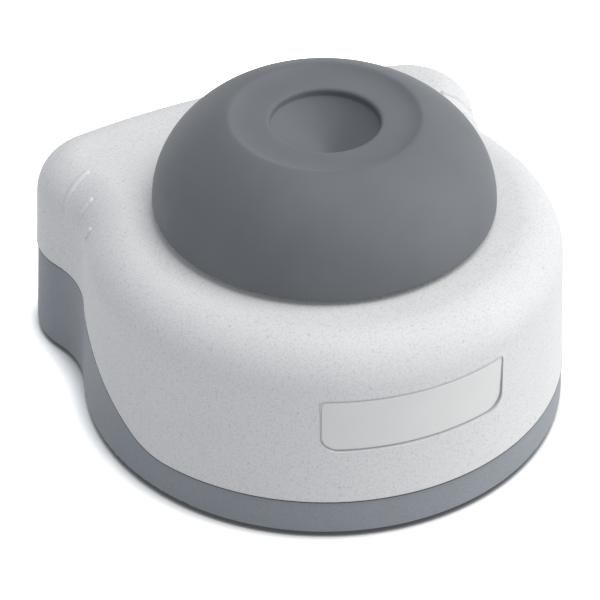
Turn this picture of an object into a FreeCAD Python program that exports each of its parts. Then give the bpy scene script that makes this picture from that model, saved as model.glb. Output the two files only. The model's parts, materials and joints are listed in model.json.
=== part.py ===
import FreeCAD, Part
import os
from math import atan2, cos, pi, radians, sin, sqrt, tan
from FreeCAD import Vector

# Mini vortex mixer, in millimetres. It is modelled about the motor axis with the bench at z = 0
# and its front towards -Y. The last step moves every piece so that the origin lies on the bench
# under the middle of the footprint.

# Housing outline, taken at its bottom edge
front_radius = 55.3
half_width = 55.5
corner_radius = 17.7
corner_back = 39.6
waist_radius = 21.0
rear_bow_angle = 13.0

# Housing walls and heights
foot_proud = 1.2
base_front_height = 8.8
parting_rise = 14.2
parting_start_y = -21.5
parting_end_y = 8.5
parting_bend = 25.0
parting_gap = 0.25
draft_angle = 3.0
wall = 2.4
floor_thickness = 2.5
bottom_edge_radius = 0.9
base_step = 0.3
tongue_thickness = 1.3
tongue_height = 1.8
tongue_clearance = 0.15
top_edge_radius = 10.5
top_fall_angle = 1.0

# Label place in the front wall
label_half_angle = 22.5
label_bottom = 23.2
label_height = 13.6
label_corner = 4.0
label_top_corner = 1.0
label_depth = 0.9
label_thickness = 0.25
label_margin = 0.5

# Grip ridges over the waists, by the direction that each one faces; shares run from wall to top
ridge_tube_radius = 0.9
ridge_proud = 0.5
ridge_low_share = 0.10
ridge_low_sunk = 0.55
ridge_faces = ((200.0, 0.81), (185.0, 0.55), (168.0, 0.33))

# Head: rubber cup on a plastic carrier
rim_radius = 38.1
dome_height = 21.8
crest_radius = 21.0
rise_handle = 0.54
crest_handle = 0.42
crest_slope = 13.0
crest_edge_radius = 1.2
rubber = 2.4
rim_edge_radius = 0.5
cup_radius = 12.1
cup_depth = 11.8
cup_straight = 1.0
cup_edge_radius = 0.8
bowl_wall_share = 0.40
bowl_wall_reach = 0.20
bowl_floor_share = 0.16
cup_wall = 2.2
cup_base = 1.4
dish_sink = 1.1
dish_slope = 32.0
dish_wall_share = 0.25
dish_floor_share = 0.45
bead = 1.2
bead_height = 1.0
skirt_length = 3.2
carrier_wall = 2.0
carrier_ribs = 6
rib_thickness = 1.6
carrier_boss_wall = 3.0
pocket_floor = 1.4
rim_gap = 1.75

# Eccentric drive
orbit_radius = 1.5
rest_direction = 67.6
bearing_bore_radius = 4.0
bearing_outer_radius = 11.0
bearing_width = 7.0
race_thickness = 1.95
ball_radius = 1.98
ball_count = 7
ball_clearance = 0.06
cage_half_thickness = 0.55
journal_tip = 1.3
clip_thickness = 0.7
clip_groove_depth = 0.7
snap_ring_thickness = 0.9
seat_shoulder = 1.3
hub_radius = 7.5
hub_grip = 5.6
hub_web = 1.8
hub_gap = 1.4
counterweight_radius = 15.0
counterweight_collar = 2.6
counterweight_thickness = 4.8
set_screw_radius = 1.5

# Motor
press_travel = 0.8
under_motor_gap = 0.9
motor_radius = 19.0
can_height = 25.0
can_wall = 1.2
can_boss_radius = 6.5
can_boss_proud = 1.2
end_cap_thickness = 3.0
end_cap_lip = 2.0
end_boss_height = 1.6
end_boss_radius = 6.0
shaft_radius = 2.5
shaft_clearance = 0.03
bush_wall = 2.2
magnet_thickness = 2.4
magnet_angle = 130.0
magnet_height = 18.0
air_gap = 0.6
bush_seat_wall = 1.2
brush_well_margin = 3.0
brush_well_floor = 1.0
end_bush_rise = 1.6
terminal_width = 3.2
terminal_thickness = 0.6
terminal_angles = (112.0, 142.0)
armature_height = 13.0
pole_count = 3
pole_neck = 5.0
pole_shoe = 2.2
pole_slot = 2.6
winding_thickness = 3.2
commutator_radius = 4.2
commutator_height = 3.0
brush_width = 3.0
brush_length = 7.0
brush_height = 2.4
holder_wall = 0.6
holder_foot = 2.0
terminal_reach = 3.6
motor_screw_circle = 12.5

# Sprung carriage that holds the motor
plate_thickness = 2.0
plate_radius = 22.0
arm_width = 13.0
post_motor_gap = 5.6
post_angles = (90.0, 210.0, 330.0)
shoulder_radius = 2.0
post_head_radius = 4.0
post_head_height = 2.4
post_thread_length = 8.0
post_boss_radius = 4.6
post_boss_height = 12.3
guide_bush_wall = 1.2
guide_bush_flange = 4.2
guide_bush_flange_thickness = 0.8
guide_clearance = 0.05
rest_gap = 0.2
spring_wire = 1.0
spring_mean_radius = 3.7
spring_turns = 4.0
spring_wire_sides = 4

# Gaiter that stops the head turning and closes the opening
gaiter_wall = 0.9
gaiter_fold = 1.7
gaiter_folds = 3
gaiter_foot = 2.0
gaiter_cuff = 3.0
opening_gap = 0.5
collar_wall = 2.0
collar_height = 3.6

# Fasteners, feet and ballast
screw_radius = 1.5
thread_clearance = 0.05
screw_head_radius = 2.8
screw_head_height = 1.9
hole_clearance = 0.2
boss_radius = 4.2
front_screw_inset = 11.3
front_screw_angle = 25.0
rear_screw_inset = 9.4
front_boss_split = 10.0
rear_boss_split = 16.0
screw_grip = 9.0
foot_radius = 6.0
foot_pocket = 1.3
front_foot_inset = 12.8
front_foot_angle = 58.0
ballast_inset = 7.0
ballast_thickness = 4.6
ballast_bore_gap = 5.5
ballast_clearance = 0.4
ballast_screw_inset = 31.5
ballast_screw_behind = 3.4
ballast_screw_grip = 3.6
board_screw_grip = 4.0
motor_screw_proud = 0.6

# Touch switch
switch_length = 19.8
switch_width = 6.4
switch_height = 10.2
switch_motor_gap = 17.4
switch_front_y = -9.6
switch_wall = 2.6
lever_thickness = 0.4
lever_width = 4.0
lever_rise = 1.5
lever_pivot_inset = 1.6
plunger_inset = 5.8
plunger_radius = 0.9
plunger_proud = 0.9
trunnion_radius = 0.4
trunnion_length = 0.9
switch_gap = 0.25
switch_screw_radius = 1.0
switch_screw_head = 1.2
switch_terminal_length = 3.6
switch_terminal_width = 3.2
switch_terminal_thickness = 0.5

# Power inlet and board
inlet_width = 9.0
inlet_length = 13.0
inlet_height = 10.6
inlet_bottom = 8.9
inlet_nose_radius = 4.1
inlet_bore_radius = 2.85
inlet_bore_depth = 9.5
inlet_pin_radius = 1.0
inlet_fit = 0.15
inlet_sink = 0.8
board_length = 27.0
board_width = 17.0
board_thickness = 1.6
board_inset = 29.5
board_behind = 1.9
board_standoff = 7.0
standoff_radius = 2.6
capacitor_radius = 4.0
capacitor_height = 10.0
block_length = 12.5
block_width = 7.0
block_height = 5.0
lead_radius = 0.9
lead_sides = 6
lead_bend = 3.0
lead_level_step = 2.8
lead_detour = 6.0

# Heights that follow, from the bench up
base_bottom = foot_proud
floor_top = base_bottom + floor_thickness
end_boss_bottom = floor_top + press_travel + under_motor_gap
end_cap_bottom = end_boss_bottom + end_boss_height
can_bottom = end_cap_bottom + end_cap_thickness
plate_bottom = can_bottom + can_height
plate_top = plate_bottom + plate_thickness
can_boss_top = plate_top + can_boss_proud
hub_bottom = can_boss_top + hub_gap
shaft_top = hub_bottom + hub_grip
hub_top = shaft_top + hub_web
race_bottom = hub_top + seat_shoulder
race_top = race_bottom + bearing_width
journal_top = race_top + journal_tip
pocket_bottom = journal_top + rest_gap + 0.4
pocket_top = pocket_bottom + pocket_floor
cup_bottom = pocket_top + cup_base
crest_z = cup_bottom + cup_depth
rim_z = crest_z - dome_height
top_height = rim_z - rim_gap
parting_front = base_bottom + base_front_height
parting_rear = parting_front + parting_rise
post_boss_top = floor_top + post_boss_height
ballast_top = floor_top + ballast_thickness
terminal_z = end_cap_bottom + (end_cap_thickness - terminal_thickness) / 2
magnet_bottom = can_bottom + (can_height - magnet_height) / 2
armature_bottom = magnet_bottom + (magnet_height - armature_height) / 2

# Radii and places that follow
front_screw_radius = front_radius - front_screw_inset
front_foot_radius = front_radius - front_foot_inset
switch_x = motor_radius + switch_motor_gap
spring_outer = spring_mean_radius + spring_wire / 2
post_circle = motor_radius + spring_outer + post_motor_gap
gaiter_inner = counterweight_radius + orbit_radius + 0.8
gaiter_outer = gaiter_inner + gaiter_wall + gaiter_fold
opening_radius = gaiter_outer + orbit_radius + opening_gap
collar_radius = opening_radius + collar_wall
carrier_boss_radius = bearing_outer_radius + carrier_boss_wall
inner_skin_radius = rim_radius - rubber
armature_radius = motor_radius - can_wall - magnet_thickness - air_gap
bush_seat_radius = shaft_radius + bush_wall + bush_seat_wall
pin = Vector(orbit_radius * cos(radians(rest_direction)), orbit_radius * sin(radians(rest_direction)), 0)


def polar(radius, angle, z=0.0):
    return Vector(radius * cos(radians(angle)), radius * sin(radians(angle)), z)


def unit(v):
    return v * (1.0 / v.Length)


def mirrored(v):
    return Vector(-v.x, v.y, v.z)


def rod(centre, z0, z1, radius):
    return Part.makeCylinder(radius, z1 - z0, Vector(centre.x, centre.y, z0))


def ring(centre, z0, z1, inner, outer):
    return rod(centre, z0, z1, outer).cut(rod(centre, z0 - 1, z1 + 1, inner))


def block(x0, x1, y0, y1, z0, z1):
    return Part.makeBox(x1 - x0, y1 - y0, z1 - z0, Vector(x0, y0, z0))


def fused(shapes):
    whole = shapes[0]
    for shape in shapes[1:]:
        whole = whole.fuse(shape)
    return whole.removeSplitter()


def turned(points, centre=Vector(0, 0, 0)):
    """Solid of revolution about the vertical through centre; points are radius and height."""
    corners = [Vector(r, 0, z) for r, z in points]
    face = Part.Face(Part.makePolygon(corners + [corners[0]]))
    solid = face.revolve(Vector(0, 0, 0), Vector(0, 0, 1), 360)
    solid.translate(centre)
    return solid


def arc(a, b, c):
    return Part.Arc(a, b, c).toShape()


def line(a, b):
    return Part.LineSegment(a, b).toShape()


def rounded(shape, radius, chosen):
    return shape.makeFillet(radius, [e for e in shape.Edges if chosen(e)])


# Housing


def outline_centres():
    corner = Vector(half_width - corner_radius, corner_back, 0)
    span = corner.Length
    front_reach = front_radius + waist_radius
    corner_reach = corner_radius + waist_radius
    along = (front_reach**2 - corner_reach**2 + span**2) / (2 * span)
    aside = sqrt(front_reach**2 - along**2)
    ahead = unit(corner)
    waist = Vector(ahead.x * along + ahead.y * aside, ahead.y * along - ahead.x * aside, 0)
    bow = radians(rear_bow_angle)
    reach = corner.x / sin(bow)
    rear = Vector(0, corner_back - reach * cos(bow), 0)
    return corner, waist, rear, corner_radius + reach


def outline(inset, z):
    """Plan of the housing, drawn in by inset: a round front, two waists, two corners, a bowed back."""
    corner, waist, rear, rear_radius = outline_centres()
    bow = Vector(sin(radians(rear_bow_angle)), cos(radians(rear_bow_angle)), 0)
    towards_waist = unit(waist - corner)
    front_end = unit(waist) * (front_radius - inset)
    waist_end = corner + towards_waist * (corner_radius - inset)
    corner_end = corner + bow * (corner_radius - inset)
    waist_middle = waist + unit(unit(front_end - waist) + unit(waist_end - waist)) * (waist_radius + inset)
    corner_middle = corner + unit(towards_waist + bow) * (corner_radius - inset)
    front_middle = Vector(0, inset - front_radius, 0)
    rear_middle = rear + Vector(0, rear_radius - inset, 0)
    edges = [
        arc(mirrored(front_end), front_middle, front_end),
        arc(front_end, waist_middle, waist_end),
        arc(waist_end, corner_middle, corner_end),
        arc(corner_end, rear_middle, mirrored(corner_end)),
        arc(mirrored(corner_end), mirrored(corner_middle), mirrored(waist_end)),
        arc(mirrored(waist_end), mirrored(waist_middle), mirrored(front_end)),
    ]
    wire = Part.Wire(edges)
    wire.translate(Vector(0, 0, z))
    return wire


def drafted(inset, z0, z1):
    """The housing's form between two heights; its walls lean in by the draft angle."""
    lean = tan(radians(draft_angle))
    low = outline(inset + (z0 - base_bottom) * lean, z0)
    high = outline(inset + (z1 - base_bottom) * lean, z1)
    return Part.makeLoft([low, high], True, True)


def crowned(inset, z0):
    """The same form closed by the gently falling top with its large rounded edge."""
    tall = drafted(inset, z0, top_height + top_edge_radius)
    reach = 3 * half_width
    above = block(-reach, reach, -reach, reach, 0, reach)
    above.rotate(Vector(0, 0, 0), Vector(1, 0, 0), -top_fall_angle)
    above.translate(Vector(0, 0, top_height - inset))
    form = tall.cut(above)
    top = max(form.Faces, key=lambda f: f.CenterOfMass.z)
    return form.makeFillet(top_edge_radius - inset, top.Edges)


def below_parting(lift):
    """Everything under the parting surface: low at the front, rising in an ogee to the rear."""
    reach = 3 * half_width
    low = parting_front + lift
    high = parting_rear + lift
    slope = atan2(parting_rise, parting_end_y - parting_start_y)
    tangent = parting_bend * tan(slope / 2)
    start = Vector(0, parting_start_y, low)
    end = Vector(0, parting_end_y, high)
    rise = unit(end - start)
    a0 = start - Vector(0, tangent, 0)
    a1 = start + rise * tangent
    b0 = end - rise * tangent
    b1 = end + Vector(0, tangent, 0)
    a_centre = a0 + Vector(0, 0, parting_bend)
    b_centre = b1 - Vector(0, 0, parting_bend)
    half = slope / 2
    a_middle = a_centre + Vector(0, sin(half), -cos(half)) * parting_bend
    b_middle = b_centre + Vector(0, -sin(half), cos(half)) * parting_bend
    front_foot = Vector(0, -reach, -reach)
    rear_foot = Vector(0, reach, -reach)
    edges = [
        line(Vector(0, -reach, low), a0),
        arc(a0, a_middle, a1),
        line(a1, b0),
        arc(b0, b_middle, b1),
        line(b1, Vector(0, reach, high)),
        line(Vector(0, reach, high), rear_foot),
        line(rear_foot, front_foot),
        line(front_foot, Vector(0, -reach, low)),
    ]
    face = Part.Face(Part.Wire(edges))
    face.translate(Vector(-reach, 0, 0))
    return face.extrude(Vector(2 * reach, 0, 0))


def ridge_frame(side, face):
    """Foot on the outline and outward direction for a ridge that faces that way on the left waist."""
    corner, waist, rear, rear_radius = outline_centres()
    outward = Vector(-side * cos(radians(face)), sin(radians(face)), 0)
    return Vector(side * waist.x, waist.y, 0) - outward * waist_radius, outward


def edge_arc(foot, outward, radius, low, high):
    """Arc in the upright plane through foot, round the rounded top edge, that sinks into the wall below."""
    lean = tan(radians(draft_angle))
    fall = tan(radians(top_fall_angle))
    wall_in = unit(Vector(1, -lean, 0))
    top_in = unit(Vector(fall * outward.y, -1, 0))
    wall_reach = top_edge_radius + wall_in.y * base_bottom
    top_reach = top_edge_radius + top_in.y * (top_height - fall * foot.y)
    across = wall_in.x * top_in.y - wall_in.y * top_in.x
    depth = (wall_reach * top_in.y - wall_in.y * top_reach) / across
    height = (wall_in.x * top_reach - wall_reach * top_in.x) / across
    start = atan2(-wall_in.y, -wall_in.x)
    span = atan2(-top_in.y, -top_in.x) - start
    if span > 0:
        span -= 2 * pi

    def at(share, reach):
        angle = start + span * share
        inward = depth + reach * cos(angle)
        return foot - outward * inward + Vector(0, 0, height + reach * sin(angle))

    return at(low, radius - ridge_low_sunk), at((low + high) / 2, radius), at(high, radius)


def grip_ridges():
    """Three round-ended ridges that rise out of the wall and climb the rounded top edge over each waist."""
    radius = top_edge_radius + ridge_proud - ridge_tube_radius
    shapes = []
    for side in (-1, 1):
        for face, high in ridge_faces:
            foot, outward = ridge_frame(side, face)
            low_end, middle, high_end = edge_arc(foot, outward, radius, ridge_low_share, high)
            path = Part.Wire([arc(low_end, middle, high_end)])
            start = path.Edges[0].tangentAt(path.Edges[0].FirstParameter)
            profile = Part.Wire(Part.Circle(low_end, start, ridge_tube_radius).toShape())
            tube = path.makePipeShell([profile], True, False)
            ends = [Part.makeSphere(ridge_tube_radius, end) for end in (low_end, high_end)]
            shapes.append(fused([tube] + ends))
    return shapes


def screw_places():
    """Housing screws: two in the round front, two inside the waists. Each with its boss split height."""
    front = polar(front_screw_radius, 270 + front_screw_angle)
    corner, waist, bow, bow_radius = outline_centres()
    rear = waist - Vector(waist_radius + rear_screw_inset, 0, 0)
    low = floor_top + front_boss_split
    high = floor_top + rear_boss_split
    return [(front, low), (mirrored(front), low), (rear, high), (mirrored(rear), high)]


def post_places():
    return [polar(post_circle, angle) for angle in post_angles]


def foot_places():
    front = polar(front_foot_radius, 270 + front_foot_angle)
    corner = Vector(half_width - corner_radius, corner_back, 0)
    return {
        "foot_front_right": front,
        "foot_front_left": mirrored(front),
        "foot_rear_right": corner,
        "foot_rear_left": mirrored(corner),
    }


def label_floor_radius():
    lean = tan(radians(draft_angle)) * (label_bottom - base_bottom)
    return front_radius - lean - label_depth


def label_prism(shrink):
    """Upright prism with the label's front view: round lower corners, nearly square upper ones."""
    half = front_radius * sin(radians(label_half_angle)) - shrink
    z0 = label_bottom + shrink
    z1 = label_bottom + label_height - shrink
    y = -front_radius - wall
    big = label_corner - shrink
    small = label_top_corner
    diagonal = 1 - sqrt(0.5)

    def at(x, z):
        return Vector(x, y, z)

    edges = [
        line(at(-half + big, z0), at(half - big, z0)),
        arc(at(half - big, z0), at(half - big * diagonal, z0 + big * diagonal), at(half, z0 + big)),
        line(at(half, z0 + big), at(half, z1 - small)),
        arc(at(half, z1 - small), at(half - small * diagonal, z1 - small * diagonal), at(half - small, z1)),
        line(at(half - small, z1), at(-half + small, z1)),
        arc(at(small - half, z1), at(small * diagonal - half, z1 - small * diagonal), at(-half, z1 - small)),
        line(at(-half, z1 - small), at(-half, z0 + big)),
        arc(at(-half, z0 + big), at(-half + big * diagonal, z0 + big * diagonal), at(-half + big, z0)),
    ]
    face = Part.Face(Part.Wire(edges))
    return face.extrude(Vector(0, front_radius / 2, 0))


def top_cover():
    outer = crowned(0, base_bottom)
    shell = outer.cut(crowned(wall, base_bottom - 1)).cut(below_parting(0))
    bosses = [rod(place, split, crest_z, boss_radius).common(outer) for place, split in screw_places()]
    collar = rod(Vector(0, 0, 0), top_height - wall, rim_z + collar_height - rim_gap, collar_radius)
    cover = fused([shell, collar] + bosses + grip_ridges())
    cover = cover.cut(rod(Vector(0, 0, 0), base_bottom, crest_z, opening_radius))
    for place, split in screw_places():
        cover = cover.cut(rod(place, split - 1, split + screw_grip, screw_radius + thread_clearance))
    recess = label_prism(0).cut(rod(Vector(0, 0, 0), 0, crest_z, label_floor_radius()))
    return cover.cut(recess)


def label_plate():
    sheet = label_prism(label_margin)
    floor = label_floor_radius()
    return sheet.common(ring(Vector(0, 0, 0), 0, crest_z, floor, floor + label_thickness))


def base_tray():
    outer = drafted(base_step, base_bottom, parting_rear + tongue_height)
    under = min(outer.Faces, key=lambda f: f.CenterOfMass.z)
    outer = outer.makeFillet(bottom_edge_radius, under.Edges)
    shell = outer.cut(drafted(base_step + wall, floor_top, parting_rear + 2 * tongue_height))
    shell = shell.common(below_parting(-parting_gap))
    tongue_inset = wall + tongue_clearance
    tongue_top = parting_rear + tongue_height + 1
    tongue = drafted(tongue_inset, base_bottom, tongue_top)
    tongue = tongue.cut(drafted(tongue_inset + tongue_thickness, base_bottom - 1, tongue_top + 1))
    tongue = tongue.common(below_parting(tongue_height)).cut(below_parting(-2 * tongue_height))
    pieces = [shell, tongue]
    pieces += [rod(place, floor_top - 1, split, boss_radius) for place, split in screw_places()]
    pieces += [rod(place, floor_top - 1, post_boss_top, post_boss_radius) for place in post_places()]
    board_seat = floor_top + board_standoff
    pieces += [rod(place, floor_top - 1, board_seat, standoff_radius) for place in board_holes()]
    pieces += [rod(place, floor_top - 1, ballast_top, standoff_radius) for place in ballast_holes()]
    pieces += [switch_stand(), inlet_cradle()]
    tray = fused(pieces)
    head_room = screw_head_radius + hole_clearance
    for place, split in screw_places():
        tray = tray.cut(rod(place, base_bottom - 1, split - wall, head_room))
        tray = tray.cut(rod(place, base_bottom, split + 1, screw_radius + hole_clearance))
    for place in post_places() + board_holes() + ballast_holes():
        tray = tray.cut(rod(place, floor_top, post_boss_top + 1, screw_radius + thread_clearance))
    pocket = foot_radius + tongue_clearance
    for place in foot_places().values():
        tray = tray.cut(rod(place, base_bottom - 1, base_bottom + foot_pocket, pocket))
    return tray.cut(inlet_opening())


def foot(place):
    """Rubber foot: a plug in the floor's pocket with a bevelled tread under it."""
    tread = rod(place, 0, base_bottom + foot_pocket, foot_radius)
    return tread.makeChamfer(foot_proud * 0.5, [e for e in tread.Edges if e.CenterOfMass.z < 0.01])


def ballast_plate():
    plate = drafted(ballast_inset, floor_top, ballast_top)
    plate = plate.cut(rod(Vector(0, 0, 0), 0, crest_z, motor_radius + ballast_bore_gap))
    holes = [(place, boss_radius) for place, split in screw_places()]
    holes += [(place, post_boss_radius) for place in post_places()]
    holes += [(place, standoff_radius) for place in board_holes() + ballast_holes()]
    for place, radius in holes:
        plate = plate.cut(rod(place, 0, crest_z, radius + ballast_clearance))
    stand = switch_stand_box(ballast_clearance)
    return plate.cut(stand).cut(inlet_cradle_box(ballast_clearance))


def screw(place, seat, length, upwards=False):
    """Pan head screw whose head sits at seat; it points down, or up when upwards is set."""
    if upwards:
        head = rod(place, seat - screw_head_height, seat, screw_head_radius)
        shank = rod(place, seat, seat + length, screw_radius)
        socket = rod(place, seat - screw_head_height - 1, seat - screw_head_height / 2, screw_radius * 0.7)
    else:
        head = rod(place, seat, seat + screw_head_height, screw_head_radius)
        shank = rod(place, seat - length, seat, screw_radius)
        socket = rod(place, seat + screw_head_height / 2, seat + screw_head_height + 1, screw_radius * 0.7)
    return head.fuse(shank).cut(socket)


def housing_screws():
    length = wall + screw_grip - 1
    return [screw(place, split - wall, length, upwards=True) for place, split in screw_places()]


# Touch switch at the right of the motor


def switch_y1():
    return switch_front_y + switch_length


def switch_top():
    return plate_bottom - switch_gap - lever_rise - lever_thickness - plunger_proud


def switch_bottom():
    return switch_top() - switch_height


def switch_stand_box(grow=0.0):
    x1 = switch_x - switch_width / 2
    y0 = switch_front_y - grow
    return block(x1 - switch_wall - grow, x1 + grow, y0, switch_y1() + grow, floor_top - 1, switch_top() - 1)


def switch_screw_places():
    z = switch_bottom() + switch_height * 0.28
    return [(switch_front_y + switch_length * share, z) for share in (0.26, 0.74)]


def cross_rod(x0, x1, y, z, radius):
    return Part.makeCylinder(radius, x1 - x0, Vector(x0, y, z), Vector(1, 0, 0))


def switch_stand():
    stand = switch_stand_box()
    x1 = switch_x - switch_width / 2
    for y, z in switch_screw_places():
        hole = cross_rod(x1 - switch_wall - 1, x1 + 1, y, z, switch_screw_radius + thread_clearance)
        stand = stand.cut(hole)
    return stand


def switch_body():
    x0 = switch_x - switch_width / 2
    x1 = switch_x + switch_width / 2
    body = block(x0, x1, switch_front_y, switch_y1(), switch_bottom(), switch_top())
    ear_y = switch_y1() - lever_pivot_inset
    ear_top = lever_pivot().z + 2 * trunnion_radius
    ear = block(x0, x1, ear_y - lever_pivot_inset, switch_y1(), switch_top() - 1, ear_top)
    slot_half = lever_width / 2 + tongue_clearance
    slot = block(switch_x - slot_half, switch_x + slot_half, 0, crest_z, switch_top(), crest_z)
    body = body.fuse(ear.cut(slot)).cut(lever_trunnions(guide_clearance))
    plunger_well = rod(plunger_place(), switch_top() - 2, switch_top() + 1, plunger_radius + guide_clearance)
    body = body.cut(plunger_well)
    for y, z in switch_screw_places():
        body = body.cut(cross_rod(x0 - 1, x1 + 1, y, z, switch_screw_radius + thread_clearance))
    return body.removeSplitter()


def plunger_place():
    return Vector(switch_x, switch_y1() - plunger_inset, 0)


def switch_plunger():
    top = switch_top() + plunger_proud - 0.15
    return rod(plunger_place(), switch_top() - 1.4, top, plunger_radius)


def lever_pivot():
    return Vector(switch_x, switch_y1() - lever_pivot_inset, switch_top() + plunger_proud - 0.15)


def lever_trunnions(grow=0.0):
    """Short pivot ends at both sides of the lever, or their holes when grow is set."""
    reach = lever_width / 2 + trunnion_length + grow
    pivot = lever_pivot()
    return cross_rod(switch_x - reach, switch_x + reach, pivot.y, pivot.z, trunnion_radius + grow)


def switch_lever():
    """Spring steel lever: hooked at its pivot, flat over the plunger, lifted and curled at its tip."""
    pivot = lever_pivot()
    z0 = switch_top() + plunger_proud
    tip_y = switch_front_y + 1.4
    bend_y = tip_y + 4.0
    t = lever_thickness
    side = [
        (pivot.y + 0.9, z0 - 0.7),
        (pivot.y + 0.9, z0 + t),
        (bend_y, z0 + t),
        (tip_y + 0.9, z0 + lever_rise + t),
        (tip_y, z0 + lever_rise * 0.6 + t),
        (tip_y, z0 + lever_rise * 0.6),
        (tip_y + 0.9, z0 + lever_rise),
        (bend_y, z0),
        (pivot.y + 0.9 - t, z0),
        (pivot.y + 0.9 - t, z0 - 0.7),
    ]
    corners = [Vector(switch_x - lever_width / 2, y, z) for y, z in side]
    face = Part.Face(Part.makePolygon(corners + [corners[0]]))
    return face.extrude(Vector(lever_width, 0, 0)).fuse(lever_trunnions())


def switch_terminals():
    low = switch_bottom() - switch_terminal_length
    x = switch_terminal_width / 2
    t = switch_terminal_thickness / 2
    places = [switch_front_y + switch_length * share for share in (0.16, 0.5, 0.84)]
    return [block(switch_x - x, switch_x + x, y - t, y + t, low, switch_bottom()) for y in places]


def switch_screws():
    x1 = switch_x + switch_width / 2
    far = switch_x - switch_width / 2 - switch_wall
    shapes = []
    for y, z in switch_screw_places():
        shank = cross_rod(far, x1, y, z, switch_screw_radius)
        shapes.append(shank.fuse(cross_rod(x1, x1 + switch_screw_head, y, z, 2 * switch_screw_radius)))
    return shapes


# Power inlet, board and leads


def rear_wall_y(z):
    corner, waist, rear, rear_radius = outline_centres()
    lean = tan(radians(draft_angle)) * (z - base_bottom)
    return rear.y + rear_radius - lean - base_step


def inlet_centre_z():
    return inlet_bottom + inlet_height / 2


def inlet_front_y():
    """The inlet's shoulder against the inside of the rear wall."""
    return rear_wall_y(inlet_bottom + inlet_height) - wall - inlet_sink - inlet_fit


def along_y(y0, y1, radius):
    return Part.makeCylinder(radius, y1 - y0, Vector(0, y0, inlet_centre_z()), Vector(0, 1, 0))


def inlet_opening():
    """Round hole for the inlet's nose, in a shallow sunk pad on the rear wall."""
    outside = rear_wall_y(base_bottom) + 1
    sunk_from = rear_wall_y(inlet_centre_z()) - inlet_sink
    pad = along_y(sunk_from, outside, inlet_nose_radius + 2.4)
    hole = along_y(inlet_front_y() - 1, outside, inlet_nose_radius + inlet_fit)
    return pad.fuse(hole)


def inlet_cradle_box(grow=0.0):
    half = inlet_width / 2 + wall + inlet_fit + grow
    y0 = inlet_front_y() - inlet_length - wall - inlet_fit - grow
    top = inlet_bottom + inlet_height * 0.6
    return block(-half, half, y0, rear_wall_y(floor_top) - wall / 2, floor_top - 1, top)


def inlet_cradle():
    """Open box on the floor that holds the inlet against the rear wall."""
    half = inlet_width / 2 + inlet_fit
    y0 = inlet_front_y() - inlet_length - inlet_fit
    room = block(-half, half, y0, inlet_front_y() + inlet_fit, inlet_bottom, crest_z)
    return inlet_cradle_box().cut(room)


def power_inlet():
    y1 = inlet_front_y()
    half = inlet_width / 2
    body = block(-half, half, y1 - inlet_length, y1, inlet_bottom, inlet_bottom + inlet_height)
    nose_end = rear_wall_y(inlet_centre_z()) - inlet_sink
    body = body.fuse(along_y(y1 - 1, nose_end, inlet_nose_radius))
    return body.cut(along_y(nose_end - inlet_bore_depth, nose_end + 1, inlet_bore_radius)).removeSplitter()


def inlet_pin():
    nose_end = rear_wall_y(inlet_centre_z()) - inlet_sink
    shaft = along_y(nose_end - inlet_bore_depth, nose_end - 1.0, inlet_pin_radius)
    return rounded(shaft, inlet_pin_radius * 0.6, lambda e: e.CenterOfMass.y > nose_end - 1.1)


def board_box():
    x0 = board_inset - half_width - board_length / 2
    y0 = corner_back + board_behind - board_width / 2
    z0 = floor_top + board_standoff
    return x0, x0 + board_length, y0, y0 + board_width, z0, z0 + board_thickness


def board_holes():
    x0, x1, y0, y1, z0, z1 = board_box()
    edge = standoff_radius + 0.6
    return [Vector(x0 + edge, y0 + edge, 0), Vector(x0 + board_length * 0.55, y1 - edge, 0)]


def ballast_holes():
    rear = Vector(half_width - ballast_screw_inset, corner_back + ballast_screw_behind, 0)
    return [rear, Vector(0, -front_screw_radius, 0)]


def control_board():
    board = block(*board_box())
    for place in board_holes():
        board = board.cut(rod(place, 0, crest_z, screw_radius + hole_clearance))
    return board


def board_block_box():
    x0, x1, y0, y1, z0, z1 = board_box()
    side = x1 - 0.8
    front = (y0 + y1 - block_length) / 2
    return side - block_width, side, front, front + block_length, z1, z1 + block_height


def board_block():
    """Terminal block with one screw well for each lead."""
    x0, x1, y0, y1, z0, z1 = board_block_box()
    shape = block(x0, x1, y0, y1, z0, z1)
    for place in lead_places():
        well = Vector(x0 + 1.9, place.y, 0)
        shape = shape.cut(rod(well, z1 - 1.4, z1 + 1, 1.2))
    return shape


def lead_places():
    x0, x1, y0, y1, z0, z1 = board_block_box()
    pitch = block_length / 4
    return [Vector(x1 - 2.0, y0 + pitch * (i + 0.5), z1) for i in range(4)]


def capacitor():
    x0, x1, y0, y1, z0, z1 = board_box()
    place = Vector(x0 + capacitor_radius + 0.8, y1 - capacitor_radius - 0.8, 0)
    can = rod(place, z1, z1 + capacitor_height, capacitor_radius)
    top = z1 + capacitor_height
    return can.makeChamfer(0.5, [e for e in can.Edges if e.CenterOfMass.z > top - 0.01])


def board_screws():
    x0, x1, y0, y1, z0, z1 = board_box()
    return [screw(place, z1, board_thickness + board_screw_grip) for place in board_holes()]


def ballast_screws():
    seat = ballast_top + thread_clearance
    return [screw(place, seat, ballast_screw_grip) for place in ballast_holes()]


def many_sided(centre, direction, radius, sides):
    circle = Part.Circle(centre, direction, radius)
    corners = [circle.value(2 * pi * i / sides) for i in range(sides)]
    return Part.makePolygon(corners + [corners[0]])


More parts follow.
